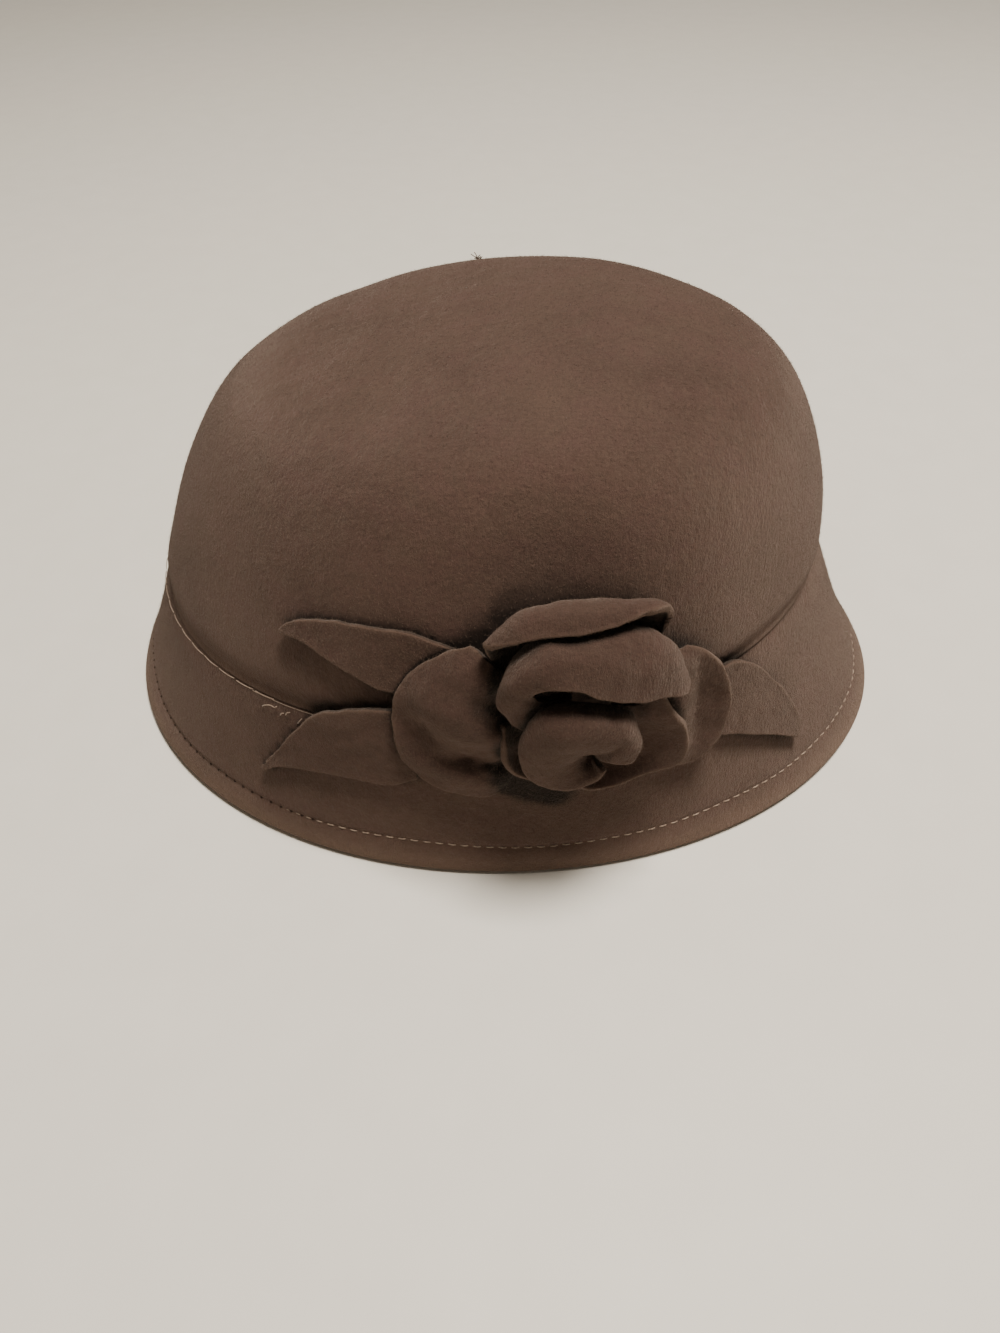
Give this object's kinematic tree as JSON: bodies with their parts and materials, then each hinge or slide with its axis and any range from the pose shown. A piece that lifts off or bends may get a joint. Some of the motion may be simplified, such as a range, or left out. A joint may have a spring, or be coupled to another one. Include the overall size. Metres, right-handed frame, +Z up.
{
  "type": "cloche hat",
  "caption": "Felt cloche hat with a domed crown, a sloping brim with a turned-under stitched edge, and a rolled felt flower with leaves on one side.",
  "frame": {"origin": "middle of the underside of the whole hat's box, level with the foot of the brim", "axes": "+Z up, the front of the hat towards -Y, the side with the flower towards -X"},
  "size_m": [0.2002, 0.2462, 0.1164],
  "materials": {
    "felt": "matte felted wool, brown, lightly mottled"
  },
  "bodies": {
    "root": {"crown": "felt", "brim": "felt", "leaf_upper_left": "felt", "leaf_lower_left": "felt", "leaf_right": "felt", "petal_left": "felt", "petal_back": "felt", "petal_upper": "felt", "bud": "felt", "cup_petal": "felt", "petal_right": "felt"}
  },
  "joints": []
}
